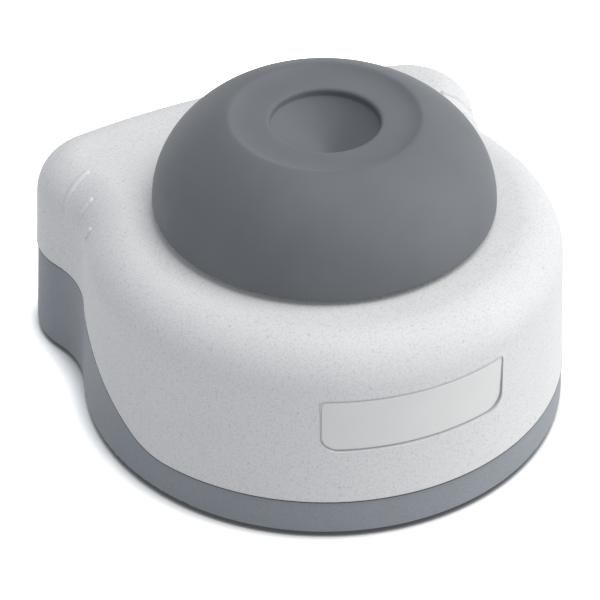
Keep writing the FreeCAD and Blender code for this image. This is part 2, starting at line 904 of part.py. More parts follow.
def lead(points, radius, bend):
    """Insulated wire along straight runs that meet in tangent arcs."""
    edges = []
    start = points[0]
    for i in range(1, len(points) - 1):
        before = unit(points[i - 1] - points[i])
        after = unit(points[i + 1] - points[i])
        half = before.getAngle(after) / 2
        cut = bend / tan(half)
        p = points[i] + before * cut
        q = points[i] + after * cut
        centre = points[i] + unit(before + after) * (bend / sin(half))
        middle = centre + unit(points[i] - centre) * bend
        edges += [line(start, p), arc(p, middle, q)]
        start = q
    edges.append(line(start, points[-1]))
    path = Part.Wire(edges)
    direction = points[1] - points[0]
    return path.makePipeShell([many_sided(points[0], direction, radius, lead_sides)], True, False)


def motor_leads():
    """One wire to each motor terminal, the second bridging over the first."""
    shapes = []
    for i in range(2):
        start = lead_places()[i]
        end = polar(motor_radius + terminal_reach * 0.55, terminal_angles[1 - i])
        high = start.z + 2 * lead_bend + i * lead_level_step
        low = terminal_z + terminal_thickness
        over = Vector(end.x, end.y, high)
        points = [start, Vector(start.x, start.y, high), over, Vector(end.x, end.y, low)]
        shapes.append(lead(points, lead_radius, lead_bend))
    return shapes


def switch_lead():
    start = lead_places()[2]
    high = start.z + 2 * lead_bend
    y = switch_front_y + switch_length * 0.5
    low = switch_bottom() - switch_terminal_length
    run = low - 2 * lead_bend
    points = [
        start,
        Vector(start.x, start.y, high),
        Vector(-start.x * 0.8, start.y - 1.5, high),
        Vector(switch_x - lead_detour, switch_y1() + 3 * lead_bend, run),
        Vector(switch_x, switch_y1() + lead_bend, run),
        Vector(switch_x, y, run),
        Vector(switch_x, y, low),
    ]
    return lead(points, lead_radius, lead_bend)


def inlet_lead():
    end = lead_places()[3]
    half = inlet_width / 2
    z = inlet_centre_z() + inlet_height * 0.3
    y = inlet_front_y() - inlet_length * 0.6
    high = end.z + 2 * lead_bend
    points = [
        Vector(-half, y, z),
        Vector(-half - 2.2 * lead_bend, y, z),
        Vector(end.x + 2.4 * lead_bend, end.y, high),
        Vector(end.x, end.y, high),
        end,
    ]
    return lead(points, lead_radius, lead_bend * 0.9)


# Motor


def motor_can():
    top = plate_bottom
    can = ring(Vector(0, 0, 0), can_bottom, top, motor_radius - can_wall, motor_radius)
    lid = rod(Vector(0, 0, 0), top - can_wall, top, motor_radius)
    boss = rod(Vector(0, 0, 0), top - 2 * can_wall, can_boss_top, can_boss_radius)
    can = fused([can, lid, boss])
    can = can.cut(rod(Vector(0, 0, 0), can_bottom, can_boss_top + 1, shaft_radius + bush_wall))
    for place in motor_screw_places():
        can = can.cut(rod(place, top - can_wall - 1, top + 1, screw_radius + thread_clearance))
    return can


def motor_screw_places():
    return [polar(motor_screw_circle, a) for a in (0.0, 180.0)]


def motor_end_cap():
    cap = rod(Vector(0, 0, 0), end_cap_bottom, can_bottom, motor_radius)
    lip_radius = motor_radius - can_wall - guide_clearance
    step = rod(Vector(0, 0, 0), can_bottom, can_bottom + end_cap_lip, lip_radius)
    boss = rod(Vector(0, 0, 0), end_boss_bottom, end_cap_bottom, end_boss_radius)
    cap = fused([cap, step, boss])
    well_radius = commutator_radius + brush_length + brush_well_margin
    well = rod(Vector(0, 0, 0), end_cap_bottom + brush_well_floor, crest_z, well_radius)
    sleeve = rod(Vector(0, 0, 0), end_cap_bottom, end_cap_bottom + end_bush_rise, bush_seat_radius)
    cap = cap.cut(well).fuse(sleeve)
    cap = cap.cut(rod(Vector(0, 0, 0), end_boss_bottom + 0.5, crest_z, shaft_radius + bush_wall))
    for tab in motor_terminals():
        cap = cap.cut(tab)
    return cap.removeSplitter()


def motor_terminals():
    """Flat brass tabs that stand out of the end cap's side."""
    shapes = []
    half = terminal_width / 2
    for angle in terminal_angles:
        tab = block(motor_radius - end_cap_lip * 2, motor_radius + terminal_reach, -half, half, terminal_z,
                    terminal_z + terminal_thickness)
        tab.rotate(Vector(0, 0, 0), Vector(0, 0, 1), angle)
        shapes.append(tab)
    return shapes


def motor_bushes():
    inner = shaft_radius + shaft_clearance
    outer = shaft_radius + bush_wall
    low = ring(Vector(0, 0, 0), end_boss_bottom + 0.5, end_cap_bottom + end_bush_rise, inner, outer)
    high = ring(Vector(0, 0, 0), plate_bottom - 2 * can_wall, can_boss_top, inner, outer)
    return [low, high]


def magnets():
    outer = motor_radius - can_wall
    inner = outer - magnet_thickness
    shapes = []
    for start in (90 - magnet_angle / 2, 270 - magnet_angle / 2):
        foot = Vector(0, 0, magnet_bottom)
        sector = Part.makeCylinder(outer, magnet_height, foot, Vector(0, 0, 1), magnet_angle)
        sector.rotate(Vector(0, 0, 0), Vector(0, 0, 1), start)
        shapes.append(sector.cut(rod(Vector(0, 0, 0), 0, crest_z, inner)))
    return shapes


def brush_bottom():
    return end_cap_bottom + end_cap_thickness


def motor_brushes():
    shapes = []
    gap = guide_clearance
    for side in (-1, 1):
        x0 = side * (commutator_radius + gap)
        x1 = side * (commutator_radius + gap + brush_length)
        z0 = brush_bottom()
        y = brush_width / 2
        brush = block(min(x0, x1) - 0.5, max(x0, x1), -y, y, z0, z0 + brush_height)
        shapes.append(brush.cut(rod(Vector(0, 0, 0), 0, crest_z, commutator_radius + gap)))
    return shapes


def brush_holders():
    """Brass cages on the end cap that guide the brushes."""
    shapes = []
    reach = commutator_radius + brush_length
    for side in (-1, 1):
        z0 = brush_bottom()
        half = brush_width / 2 + guide_clearance
        side_y = half + holder_wall
        top = z0 + brush_height + guide_clearance
        outer = block(0, reach + holder_foot, -side_y, side_y, z0 - holder_foot, top + holder_wall)
        outer = outer.cut(rod(Vector(0, 0, 0), 0, crest_z, bush_seat_radius + hole_clearance))
        cage = outer.cut(block(0, reach + holder_foot / 2, -half, half, z0 - guide_clearance, top))
        if side < 0:
            cage.rotate(Vector(0, 0, 0), Vector(0, 0, 1), 180)
        shapes.append(cage)
    return shapes


# Rotor: shaft, armature, eccentric hub and counterweight


def motor_shaft():
    return rod(Vector(0, 0, 0), end_boss_bottom + 0.7, shaft_top, shaft_radius)


def armature_core():
    """Three-pole lamination stack: a hub, necks and curved shoes."""
    z0 = armature_bottom
    z1 = z0 + armature_height
    core = rod(Vector(0, 0, 0), z0, z1, shaft_radius + 3.2)
    shoes = ring(Vector(0, 0, 0), z0, z1, armature_radius - pole_shoe, armature_radius)
    for i in range(pole_count):
        angle = 360.0 / pole_count * (i + 0.5)
        slot = block(0, armature_radius + 1, -pole_slot / 2, pole_slot / 2, z0 - 1, z1 + 1)
        slot.rotate(Vector(0, 0, 0), Vector(0, 0, 1), angle)
        shoes = shoes.cut(slot)
    pieces = [core, shoes]
    for i in range(pole_count):
        neck = block(0, armature_radius - pole_shoe / 2, -pole_neck / 2, pole_neck / 2, z0, z1)
        neck.rotate(Vector(0, 0, 0), Vector(0, 0, 1), 360.0 / pole_count * i)
        pieces.append(neck)
    core = fused(pieces)
    return core.cut(rod(Vector(0, 0, 0), 0, crest_z, shaft_radius))


def armature_windings():
    shapes = []
    z0 = armature_bottom
    z1 = z0 + armature_height
    inner = shaft_radius + 3.6
    outer = armature_radius - pole_shoe - 0.3
    half = pole_neck / 2
    thick = winding_thickness / 2
    for i in range(pole_count):
        coil = block(inner, outer, -half - thick, half + thick, z0 - thick, z1 + thick)
        coil = rounded(coil, thick * 0.9, lambda e: abs(e.tangentAt(e.FirstParameter).x) > 0.9)
        coil = coil.cut(block(inner - 1, outer + 1, -half, half, z0, z1))
        coil = coil.common(rod(Vector(0, 0, 0), z0 - thick, z1 + thick, outer))
        coil.rotate(Vector(0, 0, 0), Vector(0, 0, 1), 360.0 / pole_count * i)
        shapes.append(coil)
    return shapes


def commutator():
    z0 = brush_bottom() - 0.3
    body = ring(Vector(0, 0, 0), z0, z0 + commutator_height, shaft_radius, commutator_radius)
    for i in range(pole_count):
        outer = commutator_radius + 1
        slot = block(commutator_radius - 0.6, outer, -0.2, 0.2, z0 - 1, z0 + commutator_height + 1)
        slot.rotate(Vector(0, 0, 0), Vector(0, 0, 1), 360.0 / pole_count * (i + 0.5))
        body = body.cut(slot)
    return body


def eccentric_hub():
    """Sleeve clamped on the shaft, carrying the offset journal that the head's bearing runs on."""
    sleeve = rod(Vector(0, 0, 0), hub_bottom, hub_top, hub_radius)
    shoulder = rod(pin, hub_top - 0.5, race_bottom, bearing_bore_radius + race_thickness * 0.7)
    journal = rod(pin, hub_top, journal_top, bearing_bore_radius)
    hub = fused([sleeve, shoulder, journal])
    groove = ring(pin, race_top, race_top + clip_thickness, bearing_bore_radius - clip_groove_depth,
                  bearing_bore_radius + 1)
    hub = hub.cut(groove)
    hub = hub.cut(rod(Vector(0, 0, 0), hub_bottom - 1, shaft_top, shaft_radius))
    return hub.cut(set_screw_rod(hub_radius + 1, thread_clearance))


def set_screw_z():
    return hub_bottom + set_screw_radius + 0.3


def set_screw_rod(reach, grow=0.0):
    towards = polar(1.0, rest_direction + 180)
    start = towards * shaft_radius + Vector(0, 0, set_screw_z())
    return Part.makeCylinder(set_screw_radius + grow, reach - shaft_radius, start, towards)


def hub_set_screw():
    return set_screw_rod(hub_radius - 0.4)


def counterweight():
    """Half disc on a collar round the hub, on the side away from the journal."""
    z1 = hub_top - 0.4
    z0 = max(z1 - counterweight_thickness, set_screw_z() + set_screw_radius + 0.2)
    collar = rod(Vector(0, 0, 0), z0, z1, hub_radius + counterweight_collar)
    half = Part.makeCylinder(counterweight_radius, z1 - z0, Vector(0, 0, z0), Vector(0, 0, 1), 180)
    half.rotate(Vector(0, 0, 0), Vector(0, 0, 1), rest_direction + 90)
    return collar.fuse(half).cut(rod(Vector(0, 0, 0), 0, crest_z, hub_radius)).removeSplitter()


def hub_clip():
    """Open retaining clip in the journal's groove, over the bearing's inner race."""
    clip = ring(pin, race_top, race_top + clip_thickness, bearing_bore_radius - clip_groove_depth,
                bearing_bore_radius + race_thickness * 0.6)
    mouth = block(0, 2 * bearing_bore_radius, -2.2, 2.2, race_top - 1, race_top + clip_thickness + 1)
    mouth.rotate(Vector(0, 0, 0), Vector(0, 0, 1), rest_direction)
    mouth.translate(pin)
    return clip.cut(mouth)


# Ball bearing between the journal and the head


def ball_circle():
    return (bearing_bore_radius + bearing_outer_radius) / 2


def race_groove():
    return Part.makeTorus(ball_circle(), ball_radius + ball_clearance, pin + Vector(0, 0, bearing_middle()))


def bearing_middle():
    return (race_bottom + race_top) / 2


def inner_race():
    race = ring(pin, race_bottom, race_top, bearing_bore_radius, bearing_bore_radius + race_thickness)
    return race.cut(race_groove())


def outer_race():
    race = ring(pin, race_bottom, race_top, bearing_outer_radius - race_thickness, bearing_outer_radius)
    return race.cut(race_groove())


def ball_places():
    step = 360.0 / ball_count
    return [pin + polar(ball_circle(), step * i, bearing_middle()) for i in range(ball_count)]


def bearing_balls():
    return [Part.makeSphere(ball_radius, place) for place in ball_places()]


def bearing_cage():
    """Crown cage: a ring under the balls with a wall between each pair."""
    middle = ball_circle()
    z0 = bearing_middle() - ball_radius - 0.9
    cage = ring(pin, z0, bearing_middle() + 0.5, middle - cage_half_thickness, middle + cage_half_thickness)
    for place in ball_places():
        cage = cage.cut(rod(place, place.z, place.z + 2, ball_radius + ball_clearance))
        cage = cage.cut(Part.makeSphere(ball_radius + ball_clearance, place))
    return cage


# Head


def bezier(a, b, c, d):
    curve = Part.BezierCurve()
    curve.setPoles([a, b, c, d])
    return curve.toShape()


def dome_arc(r0, z0, r1, z1):
    """Shoulder from the rim at r0, z0 to the crest at r1, z1: upright at the rim, gently sloped above."""
    rise = flat(r0, z0 + rise_handle * (z1 - z0))
    reach = crest_handle * (r0 - r1)
    crest = flat(r1 + reach, z1 - reach * tan(radians(crest_slope)))
    return bezier(flat(r0, z0), rise, crest, flat(r1, z1))


def spun(edges, centre):
    face = Part.Face(Part.Wire(Part.__sortEdges__(edges)))
    solid = face.revolve(Vector(0, 0, 0), Vector(0, 0, 1), 360)
    solid.translate(centre)
    return solid


def flat(r, z):
    return Vector(r, 0, z)


def bowl_curve(radius, z0, z1):
    """Cup's section: a cone that rounds out at its floor, at z0, and under its upright wall, at z1."""
    wall_end = flat(radius * (1 - bowl_wall_reach), z1 - bowl_wall_share * (z1 - z0))
    return bezier(flat(0, z0), flat(radius * bowl_floor_share, z0), wall_end, flat(radius, z1))


def dish_curve(r0, z0, r1, z1):
    """Dish's section from the cup's lip at r0, z0 out to the crest at r1, z1."""
    reach = r1 - r0
    step = dish_wall_share * reach
    steep = flat(r1 - step, z1 - step * tan(radians(dish_slope)))
    return bezier(flat(r0, z0), flat(r0 + dish_floor_share * reach, z0), steep, flat(r1, z1))


def cup_head():
    """Rubber dome with a shallow dish on top, a round cup in its middle and a bead inside its skirt."""
    lip_z = crest_z - dish_sink
    lip_r = cup_radius + cup_edge_radius
    cup_top = lip_z - cup_edge_radius
    e = rim_edge_radius
    inner = inner_skin_radius
    under = crest_z - rubber
    cup_outer = cup_radius + cup_wall
    bead_z = rim_z + skirt_length
    shelf_r = crest_radius - 1.0
    quarter = cup_edge_radius * (1 - sqrt(0.5))
    rim_corner = e * (1 - sqrt(0.5))
    bowl_top = cup_top - cup_straight
    rim_start = flat(rim_radius, rim_z + e)
    rim_middle = flat(rim_radius - rim_corner, rim_z + rim_corner)
    edges = [
        bowl_curve(cup_radius, cup_bottom, bowl_top),
        line(flat(cup_radius, bowl_top), flat(cup_radius, cup_top)),
        arc(flat(cup_radius, cup_top), flat(cup_radius + quarter, lip_z - quarter), flat(lip_r, lip_z)),
        dish_curve(lip_r, lip_z, crest_radius, crest_z),
        dome_arc(rim_radius, rim_z + e, crest_radius, crest_z),
        arc(rim_start, rim_middle, flat(rim_radius - e, rim_z)),
        line(flat(rim_radius - e, rim_z), flat(inner, rim_z)),
        line(flat(inner, rim_z), flat(inner, bead_z - 2 * bead_height)),
        line(flat(inner, bead_z - 2 * bead_height), flat(inner - bead, bead_z - bead_height)),
        line(flat(inner - bead, bead_z - bead_height), flat(inner - bead, bead_z)),
        line(flat(inner - bead, bead_z), flat(inner, bead_z)),
        dome_arc(inner, bead_z, shelf_r, under),
        line(flat(shelf_r, under), flat(cup_outer, under)),
        line(flat(cup_outer, under), flat(cup_outer, pocket_top)),
        line(flat(cup_outer, pocket_top), flat(0, pocket_top)),
        line(flat(0, pocket_top), flat(0, cup_bottom)),
    ]
    head = spun(edges, Vector(0, 0, 0))
    head = rounded(head, crest_edge_radius, at_crest)
    head.translate(pin)
    return head


def at_crest(edge):
    return edge.BoundBox.ZMin > crest_z - 0.01 and edge.BoundBox.XMax > crest_radius - 0.01


def head_carrier():
    """Ribbed plastic moulding inside the rubber: bearing boss, cup pocket, top deck and outer skirt."""
    fit = guide_clearance
    bead_z = rim_z + skirt_length + fit
    under = crest_z - rubber - fit
    outer_r = inner_skin_radius - fit
    shelf_r = crest_radius - 1.0 - fit
    pocket_r = cup_radius + cup_wall + fit
    t = carrier_wall
    edges = [
        line(flat(0, pocket_top - fit), flat(pocket_r, pocket_top - fit)),
        line(flat(pocket_r, pocket_top - fit), flat(pocket_r, under)),
        line(flat(pocket_r, under), flat(shelf_r, under)),
        dome_arc(outer_r, bead_z, shelf_r, under),
        line(flat(outer_r, bead_z), flat(outer_r - t, bead_z)),
        dome_arc(outer_r - t, bead_z, shelf_r, under - t),
        line(flat(shelf_r, under - t), flat(pocket_r + t, under - t)),
        line(flat(pocket_r + t, under - t), flat(pocket_r + t, pocket_bottom)),
        line(flat(pocket_r + t, pocket_bottom), flat(0, pocket_bottom)),
        line(flat(0, pocket_bottom), flat(0, pocket_top - fit)),
    ]
    shell = spun(edges, Vector(0, 0, 0))
    cavity = spun(
        [
            line(flat(0, bead_z), flat(outer_r - t / 2, bead_z)),
            dome_arc(outer_r - t / 2, bead_z, shelf_r, under - t / 2),
            line(flat(shelf_r, under - t / 2), flat(0, under - t / 2)),
            line(flat(0, under - t / 2), flat(0, bead_z)),
        ],
        Vector(0, 0, 0),
    )
    boss_bottom = race_bottom - snap_ring_thickness - 0.6
    boss = rod(Vector(0, 0, 0), boss_bottom, pocket_bottom + 0.5, carrier_boss_radius)
    pieces = [shell, boss]
    rib_bottom = rim_z + collar_height - rim_gap + press_travel + 1.1
    for i in range(carrier_ribs):
        rib = block(0, outer_r, -rib_thickness / 2, rib_thickness / 2, rib_bottom, under - t / 2)
        rib = rib.common(cavity).cut(rod(Vector(0, 0, 0), pocket_bottom, crest_z, pocket_r + t / 2))
        rib.rotate(Vector(0, 0, 0), Vector(0, 0, 1), 360.0 / carrier_ribs * i)
        pieces.append(rib)
    carrier = fused(pieces)
    carrier = carrier.cut(rod(Vector(0, 0, 0), boss_bottom - 1, race_top, bearing_outer_radius))
    groove_r = bearing_outer_radius + clip_groove_depth
    carrier = carrier.cut(rod(Vector(0, 0, 0), race_bottom - snap_ring_thickness, race_bottom, groove_r))
    clear = bearing_outer_radius - race_thickness * 0.7
    carrier = carrier.cut(rod(Vector(0, 0, 0), race_top - 1, pocket_bottom, clear))
    carrier.translate(pin)
    return carrier


def bearing_snap_ring():
    """Open ring in the carrier's groove that holds the outer race up."""
    z0 = race_bottom - snap_ring_thickness
    shape = ring(pin, z0, race_bottom, bearing_outer_radius - race_thickness * 0.6,
                 bearing_outer_radius + clip_groove_depth)
    mouth = block(0, 2 * bearing_outer_radius, -2.5, 2.5, z0 - 1, race_bottom + 1)
    mouth.translate(pin)
    return shape.cut(mouth)


# Carriage


def motor_bracket():
    """Steel plate with three arms that slide on the posts and a fourth that works the switch."""
    centre = Vector(0, 0, 0)
    pieces = [rod(centre, plate_bottom, plate_top, plate_radius)]
    for angle in post_angles:
        arm = block(0, post_circle, -arm_width / 2, arm_width / 2, plate_bottom, plate_top)
        arm.rotate(centre, Vector(0, 0, 1), angle)
        pieces += [arm, rod(polar(post_circle, angle), plate_bottom, plate_top, arm_width / 2)]
    tab_y = switch_front_y + 2.3
    tab_end = switch_x + lever_width / 2
    pieces.append(block(0, tab_end, tab_y - arm_width / 4, tab_y + arm_width / 4, plate_bottom, plate_top))
    plate = fused(pieces)
    plate = plate.cut(rod(centre, plate_bottom - 1, plate_top + 1, can_boss_radius + hole_clearance))
    for place in motor_screw_places():
        plate = plate.cut(rod(place, plate_bottom - 1, plate_top + 1, screw_radius + hole_clearance))
    hole = shoulder_radius + guide_clearance + guide_bush_wall
    for place in post_places():
        plate = plate.cut(rod(place, plate_bottom - 1, plate_top + 1, hole))
    return plate


def guide_bush(angle):
    """Nylon bush with a flange on both faces of the bracket."""
    inner = shoulder_radius + guide_clearance
    t = guide_bush_flange_thickness
    points = [
        (inner, plate_bottom - t),
        (guide_bush_flange, plate_bottom - t),
        (guide_bush_flange, plate_bottom),
        (inner + guide_bush_wall, plate_bottom),
        (inner + guide_bush_wall, plate_top),
        (guide_bush_flange, plate_top),
        (guide_bush_flange, plate_top + t),
        (inner, plate_top + t),
    ]
    return turned(points, polar(post_circle, angle))


def guide_posts():
    """Shoulder screws: thread in the base's boss, smooth post, and the head that stops the carriage."""
    shapes = []
    head = plate_top + guide_bush_flange_thickness + rest_gap
    for place in post_places():
        post = rod(place, post_boss_top, head, shoulder_radius)
        thread = rod(place, post_boss_top - post_thread_length, post_boss_top, screw_radius)
        cap = rod(place, head, head + post_head_height, post_head_radius)
        socket = rod(place, head + post_head_height * 0.4, head + post_head_height + 1, shoulder_radius * 0.7)
        shapes.append(fused([post, thread, cap]).cut(socket))
    return shapes


def lift_spring(angle):
    """Compression spring round a post, between the base's boss and the bush."""
    bottom = post_boss_top + spring_wire / 2
    top = plate_bottom - guide_bush_flange_thickness - spring_wire / 2
    helix = Part.makeHelix((top - bottom) / spring_turns, top - bottom, spring_mean_radius)
    start = Vector(spring_mean_radius, 0, 0)
    profile = many_sided(start, Vector(0, 1, 0), spring_wire / 2, spring_wire_sides)
    coil = Part.Wire(helix.Edges).makePipeShell([profile], True, True)
    coil.translate(polar(post_circle, angle, bottom))
    return coil


def motor_screws():
    length = plate_thickness + can_wall + motor_screw_proud
    return [screw(place, plate_top, length) for place in motor_screw_places()]


def gaiter_skin(offset, z0, z1, steps):
    """Loft through circles whose radius swings in and out and whose centre shifts towards the head's."""
    wires = []
    for i in range(steps + 1):
        share = i / steps
        swing = gaiter_fold * (i % 2)
        centre = pin * share + Vector(0, 0, z0 + (z1 - z0) * share)
        wires.append(Part.Wire(Part.Circle(centre, Vector(0, 0, 1), gaiter_inner + swing + offset).toShape()))
    return Part.makeLoft(wires, True, True)


def head_gaiter():
    """Rubber bellows from the bracket up to a cuff round the bearing boss."""
    boss_bottom = race_bottom - snap_ring_thickness - 0.6
    foot_top = plate_top + gaiter_foot
    z1 = boss_bottom + 0.2
    steps = 2 * gaiter_folds
    bellows = gaiter_skin(gaiter_wall, foot_top, z1, steps).cut(gaiter_skin(0, foot_top, z1, steps))
    foot_ring = ring(Vector(0, 0, 0), plate_top, foot_top, gaiter_inner, gaiter_inner + gaiter_wall + 0.8)
    cuff_r = carrier_boss_radius
    deck = ring(pin, z1, z1 + gaiter_wall, cuff_r, gaiter_inner + gaiter_wall)
    cuff = ring(pin, z1, z1 + gaiter_cuff, cuff_r, cuff_r + gaiter_wall)
    return fused([foot_ring, bellows, deck, cuff])


# Export


def pieces():
    shapes = {
        "base_tray": [base_tray()],
        "top_cover": [top_cover()],
        "label_plate": [label_plate()],
        "ballast_plate": [ballast_plate()],
        "ballast_screws": ballast_screws(),
        "housing_screws": housing_screws(),
        "guide_posts": guide_posts(),
        "switch_body": [switch_body()],
        "switch_plunger": [switch_plunger()],
        "switch_lever": [switch_lever()],
        "switch_terminals": switch_terminals(),
        "switch_screws": switch_screws(),
        "power_inlet": [power_inlet()],
        "inlet_pin": [inlet_pin()],
        "control_board": [control_board()],
        "board_block": [board_block()],
        "capacitor": [capacitor()],
        "board_screws": board_screws(),
        "motor_leads": motor_leads(),
        "switch_lead": [switch_lead()],
        "inlet_lead": [inlet_lead()],
        "motor_bracket": [motor_bracket()],
        "motor_can": [motor_can()],
        "motor_end_cap": [motor_end_cap()],
        "motor_terminals": motor_terminals(),
        "motor_bushes": motor_bushes(),
        "magnets": magnets(),
        "motor_brushes": motor_brushes(),
        "brush_holders": brush_holders(),
        "motor_screws": motor_screws(),
        "head_gaiter": [head_gaiter()],
        "motor_shaft": [motor_shaft()],
        "armature_core": [armature_core()],
        "armature_windings": armature_windings(),
        "commutator": [commutator()],
        "eccentric_hub": [eccentric_hub()],
        "hub_set_screw": [hub_set_screw()],
        "counterweight": [counterweight()],
        "hub_clip": [hub_clip()],
        "inner_race": [inner_race()],
        "bearing_cage": [bearing_cage()],
        "bearing_balls": bearing_balls(),
        "outer_race": [outer_race()],
        "bearing_snap_ring": [bearing_snap_ring()],
        "head_carrier": [head_carrier()],
        "cup_head": [cup_head()],
    }
    for name, place in foot_places().items():
        shapes[name] = [foot(place)]
    for name, angle in zip(("rear", "left", "right"), post_angles):
        shapes["guide_bush_" + name] = [guide_bush(angle)]
        shapes["lift_spring_" + name] = [lift_spring(angle)]
    return shapes


def footprint_shift():
    corner, waist, rear, rear_radius = outline_centres()
    return Vector(0, -(rear.y + rear_radius - front_radius) / 2, 0)


os.makedirs("parts", exist_ok=True)
shift = footprint_shift()
for name, solids in pieces().items():
    whole = solids[0] if len(solids) == 1 else Part.Compound(solids)
    whole.translate(shift)
    whole.exportStep("parts/" + name + ".step")
    print(name, round(whole.Volume, 1), len(whole.Solids), whole.isValid())
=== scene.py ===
import json
import math

import bmesh
import bpy
from mathutils import Matrix, Vector


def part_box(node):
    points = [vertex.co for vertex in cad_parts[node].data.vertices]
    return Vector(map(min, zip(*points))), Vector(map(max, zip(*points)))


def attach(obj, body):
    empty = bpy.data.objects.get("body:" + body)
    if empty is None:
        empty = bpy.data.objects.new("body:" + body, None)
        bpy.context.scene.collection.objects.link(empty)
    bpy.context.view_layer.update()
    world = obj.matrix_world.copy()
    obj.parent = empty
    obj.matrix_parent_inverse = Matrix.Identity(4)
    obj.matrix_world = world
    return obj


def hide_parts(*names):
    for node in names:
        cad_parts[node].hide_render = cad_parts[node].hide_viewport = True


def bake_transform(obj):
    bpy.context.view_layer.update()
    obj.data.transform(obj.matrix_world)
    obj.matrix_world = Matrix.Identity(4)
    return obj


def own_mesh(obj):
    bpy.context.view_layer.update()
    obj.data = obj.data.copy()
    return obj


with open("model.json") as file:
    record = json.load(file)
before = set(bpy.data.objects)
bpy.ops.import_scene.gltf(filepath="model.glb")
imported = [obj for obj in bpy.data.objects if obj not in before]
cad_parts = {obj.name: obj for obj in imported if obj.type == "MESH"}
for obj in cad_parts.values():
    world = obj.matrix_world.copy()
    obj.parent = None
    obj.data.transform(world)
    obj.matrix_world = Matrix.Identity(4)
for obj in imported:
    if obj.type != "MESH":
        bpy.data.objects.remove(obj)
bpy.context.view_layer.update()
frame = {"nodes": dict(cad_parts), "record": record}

nodes = frame["nodes"]
slotOf = {part["node"]: part["material_slot"] for part in frame["record"]["subparts"]}
print("frame loaded:", len(nodes), "nodes")


# Shader helpers; a noise is written as scale, detail and roughness, a band as its low and high value

def addNode(tree, kind, values=None, **settings):
    node = tree.nodes.new(kind)
    for name, value in settings.items():
        setattr(node, name, value)
    for name, value in (values or {}).items():
        node.inputs[name].default_value = value
    return node


def link(tree, source, target):
    tree.links.new(source, target)


def newMaterial(name):
    material = bpy.data.materials.new(name)
    material.use_nodes = True
    tree = material.node_tree
    tree.nodes.clear()
    output = addNode(tree, "ShaderNodeOutputMaterial")
    shader = addNode(tree, "ShaderNodeBsdfPrincipled")
    link(tree, shader.outputs["BSDF"], output.inputs["Surface"])
    coords = addNode(tree, "ShaderNodeTexCoord")
    return material, tree, shader, coords.outputs["Object"]


def noise(tree, coords, scale, detail, roughness):
    node = addNode(tree, "ShaderNodeTexNoise", {
        "Scale": scale, "Detail": detail, "Roughness": roughness})
    link(tree, coords, node.inputs["Vector"])
    return node.outputs["Fac"]


def mapRange(tree, value, low, high, start=0.0, end=1.0):
    limits = {"From Min": low, "From Max": high, "To Min": start, "To Max": end}
    node = addNode(tree, "ShaderNodeMapRange", limits, interpolation_type="SMOOTHSTEP")
    link(tree, value, node.inputs["Value"])
    return node.outputs["Result"]


def mixColour(tree, factor, first, second):
    node = addNode(tree, "ShaderNodeMix", data_type="RGBA")
    link(tree, factor, node.inputs["Factor"])
    for socket, colour in ((node.inputs[6], first), (node.inputs[7], second)):  # colours A and B
        if isinstance(colour, tuple):
            socket.default_value = (*colour, 1.0)
        else:
            link(tree, colour, socket)
    return node.outputs[2]


def combine(tree, operation, first, second):
    node = addNode(tree, "ShaderNodeMath", operation=operation)
    for socket, value in zip(node.inputs, (first, second)):
        if isinstance(value, (int, float)):
            socket.default_value = value
        else:
            link(tree, value, socket)
    return node.outputs[0]


def specks(tree, coords, scale, look):
    size, share, fade = look["speckSize"], look["speckShare"], look["speckFade"]
    node = addNode(tree, "ShaderNodeTexVoronoi", {"Scale": scale})
    link(tree, coords, node.inputs["Vector"])
    dots = mapRange(tree, node.outputs["Distance"], size, size * fade)
    chance = addNode(tree, "ShaderNodeSeparateColor")  # each cell's colour decides if and how dark
    link(tree, node.outputs["Color"], chance.inputs["Color"])
    chosen = mapRange(tree, chance.outputs[0], 1.0 - share, 1.0 - share * fade)
    strength = combine(tree, "MULTIPLY", chance.outputs[1], look["speckStrength"])
    return combine(tree, "MULTIPLY", combine(tree, "MULTIPLY", dots, chosen), strength)


# Painted shade: an ambient occlusion node darkens the colour in creases, recess corners and at the feet
# of ridges
def shadeCreases(tree, body, look):
    near = addNode(tree, "ShaderNodeAmbientOcclusion", {"Distance": look["creaseReach"]},
                   samples=look["creaseSamples"])
    shade = mapRange(tree, near.outputs["AO"], *look["creaseBand"], 0.0, look["creaseShade"])
    return mixColour(tree, shade, body, look["darkColour"])


edgeSamples = 4


def addBump(tree, shader, height, distance, strength, edge=0.0):
    node = addNode(tree, "ShaderNodeBump", {"Strength": strength, "Distance": distance})
    link(tree, height, node.inputs["Height"])
    if edge > 0.0:  # moulded edges look a little rounded
        soft = addNode(tree, "ShaderNodeBevel", {"Radius": edge}, samples=edgeSamples)
        link(tree, soft.outputs["Normal"], node.inputs["Normal"])
    link(tree, node.outputs["Normal"], shader.inputs["Normal"])


# Speckled moulding of cover and tray

speckledMould = {
    "cloud": (60.0, 3.0, 0.5), "cloudBand": (0.35, 0.65),
    "mottle": (2200.0, 2.0, 0.6), "mottleBand": (0.45, 0.75),
    "speckScales": (1100.0, 640.0), "speckSize": 0.26, "speckShare": 0.20, "speckFade": 0.6,
    "creaseReach": 0.0009, "creaseBand": (0.95, 0.45), "creaseShade": 0.5, "creaseSamples": 8,
    "grain": (2800.0, 3.0, 0.65), "grainBand": (0.2, 0.8), "grainDepth": 0.00008, "grainStrength": 0.7,
    "edge": 0.0003, "specular": 0.35,
}
coverPlastic = {
    **speckledMould,
    "colour": (0.828, 0.833, 0.843), "cloudColour": (0.812, 0.817, 0.828),
    "darkColour": (0.40, 0.41, 0.43), "mottleTint": 0.34, "speckStrength": 0.38,
    "smooth": 0.42, "rough": 0.60,
}
basePlastic = {
    **speckledMould,
    "colour": (0.312, 0.338, 0.372), "cloudColour": (0.300, 0.325, 0.358),
    "darkColour": (0.10, 0.115, 0.135), "mottleTint": 0.22, "speckStrength": 0.20,
    "smooth": 0.45, "rough": 0.62,
}


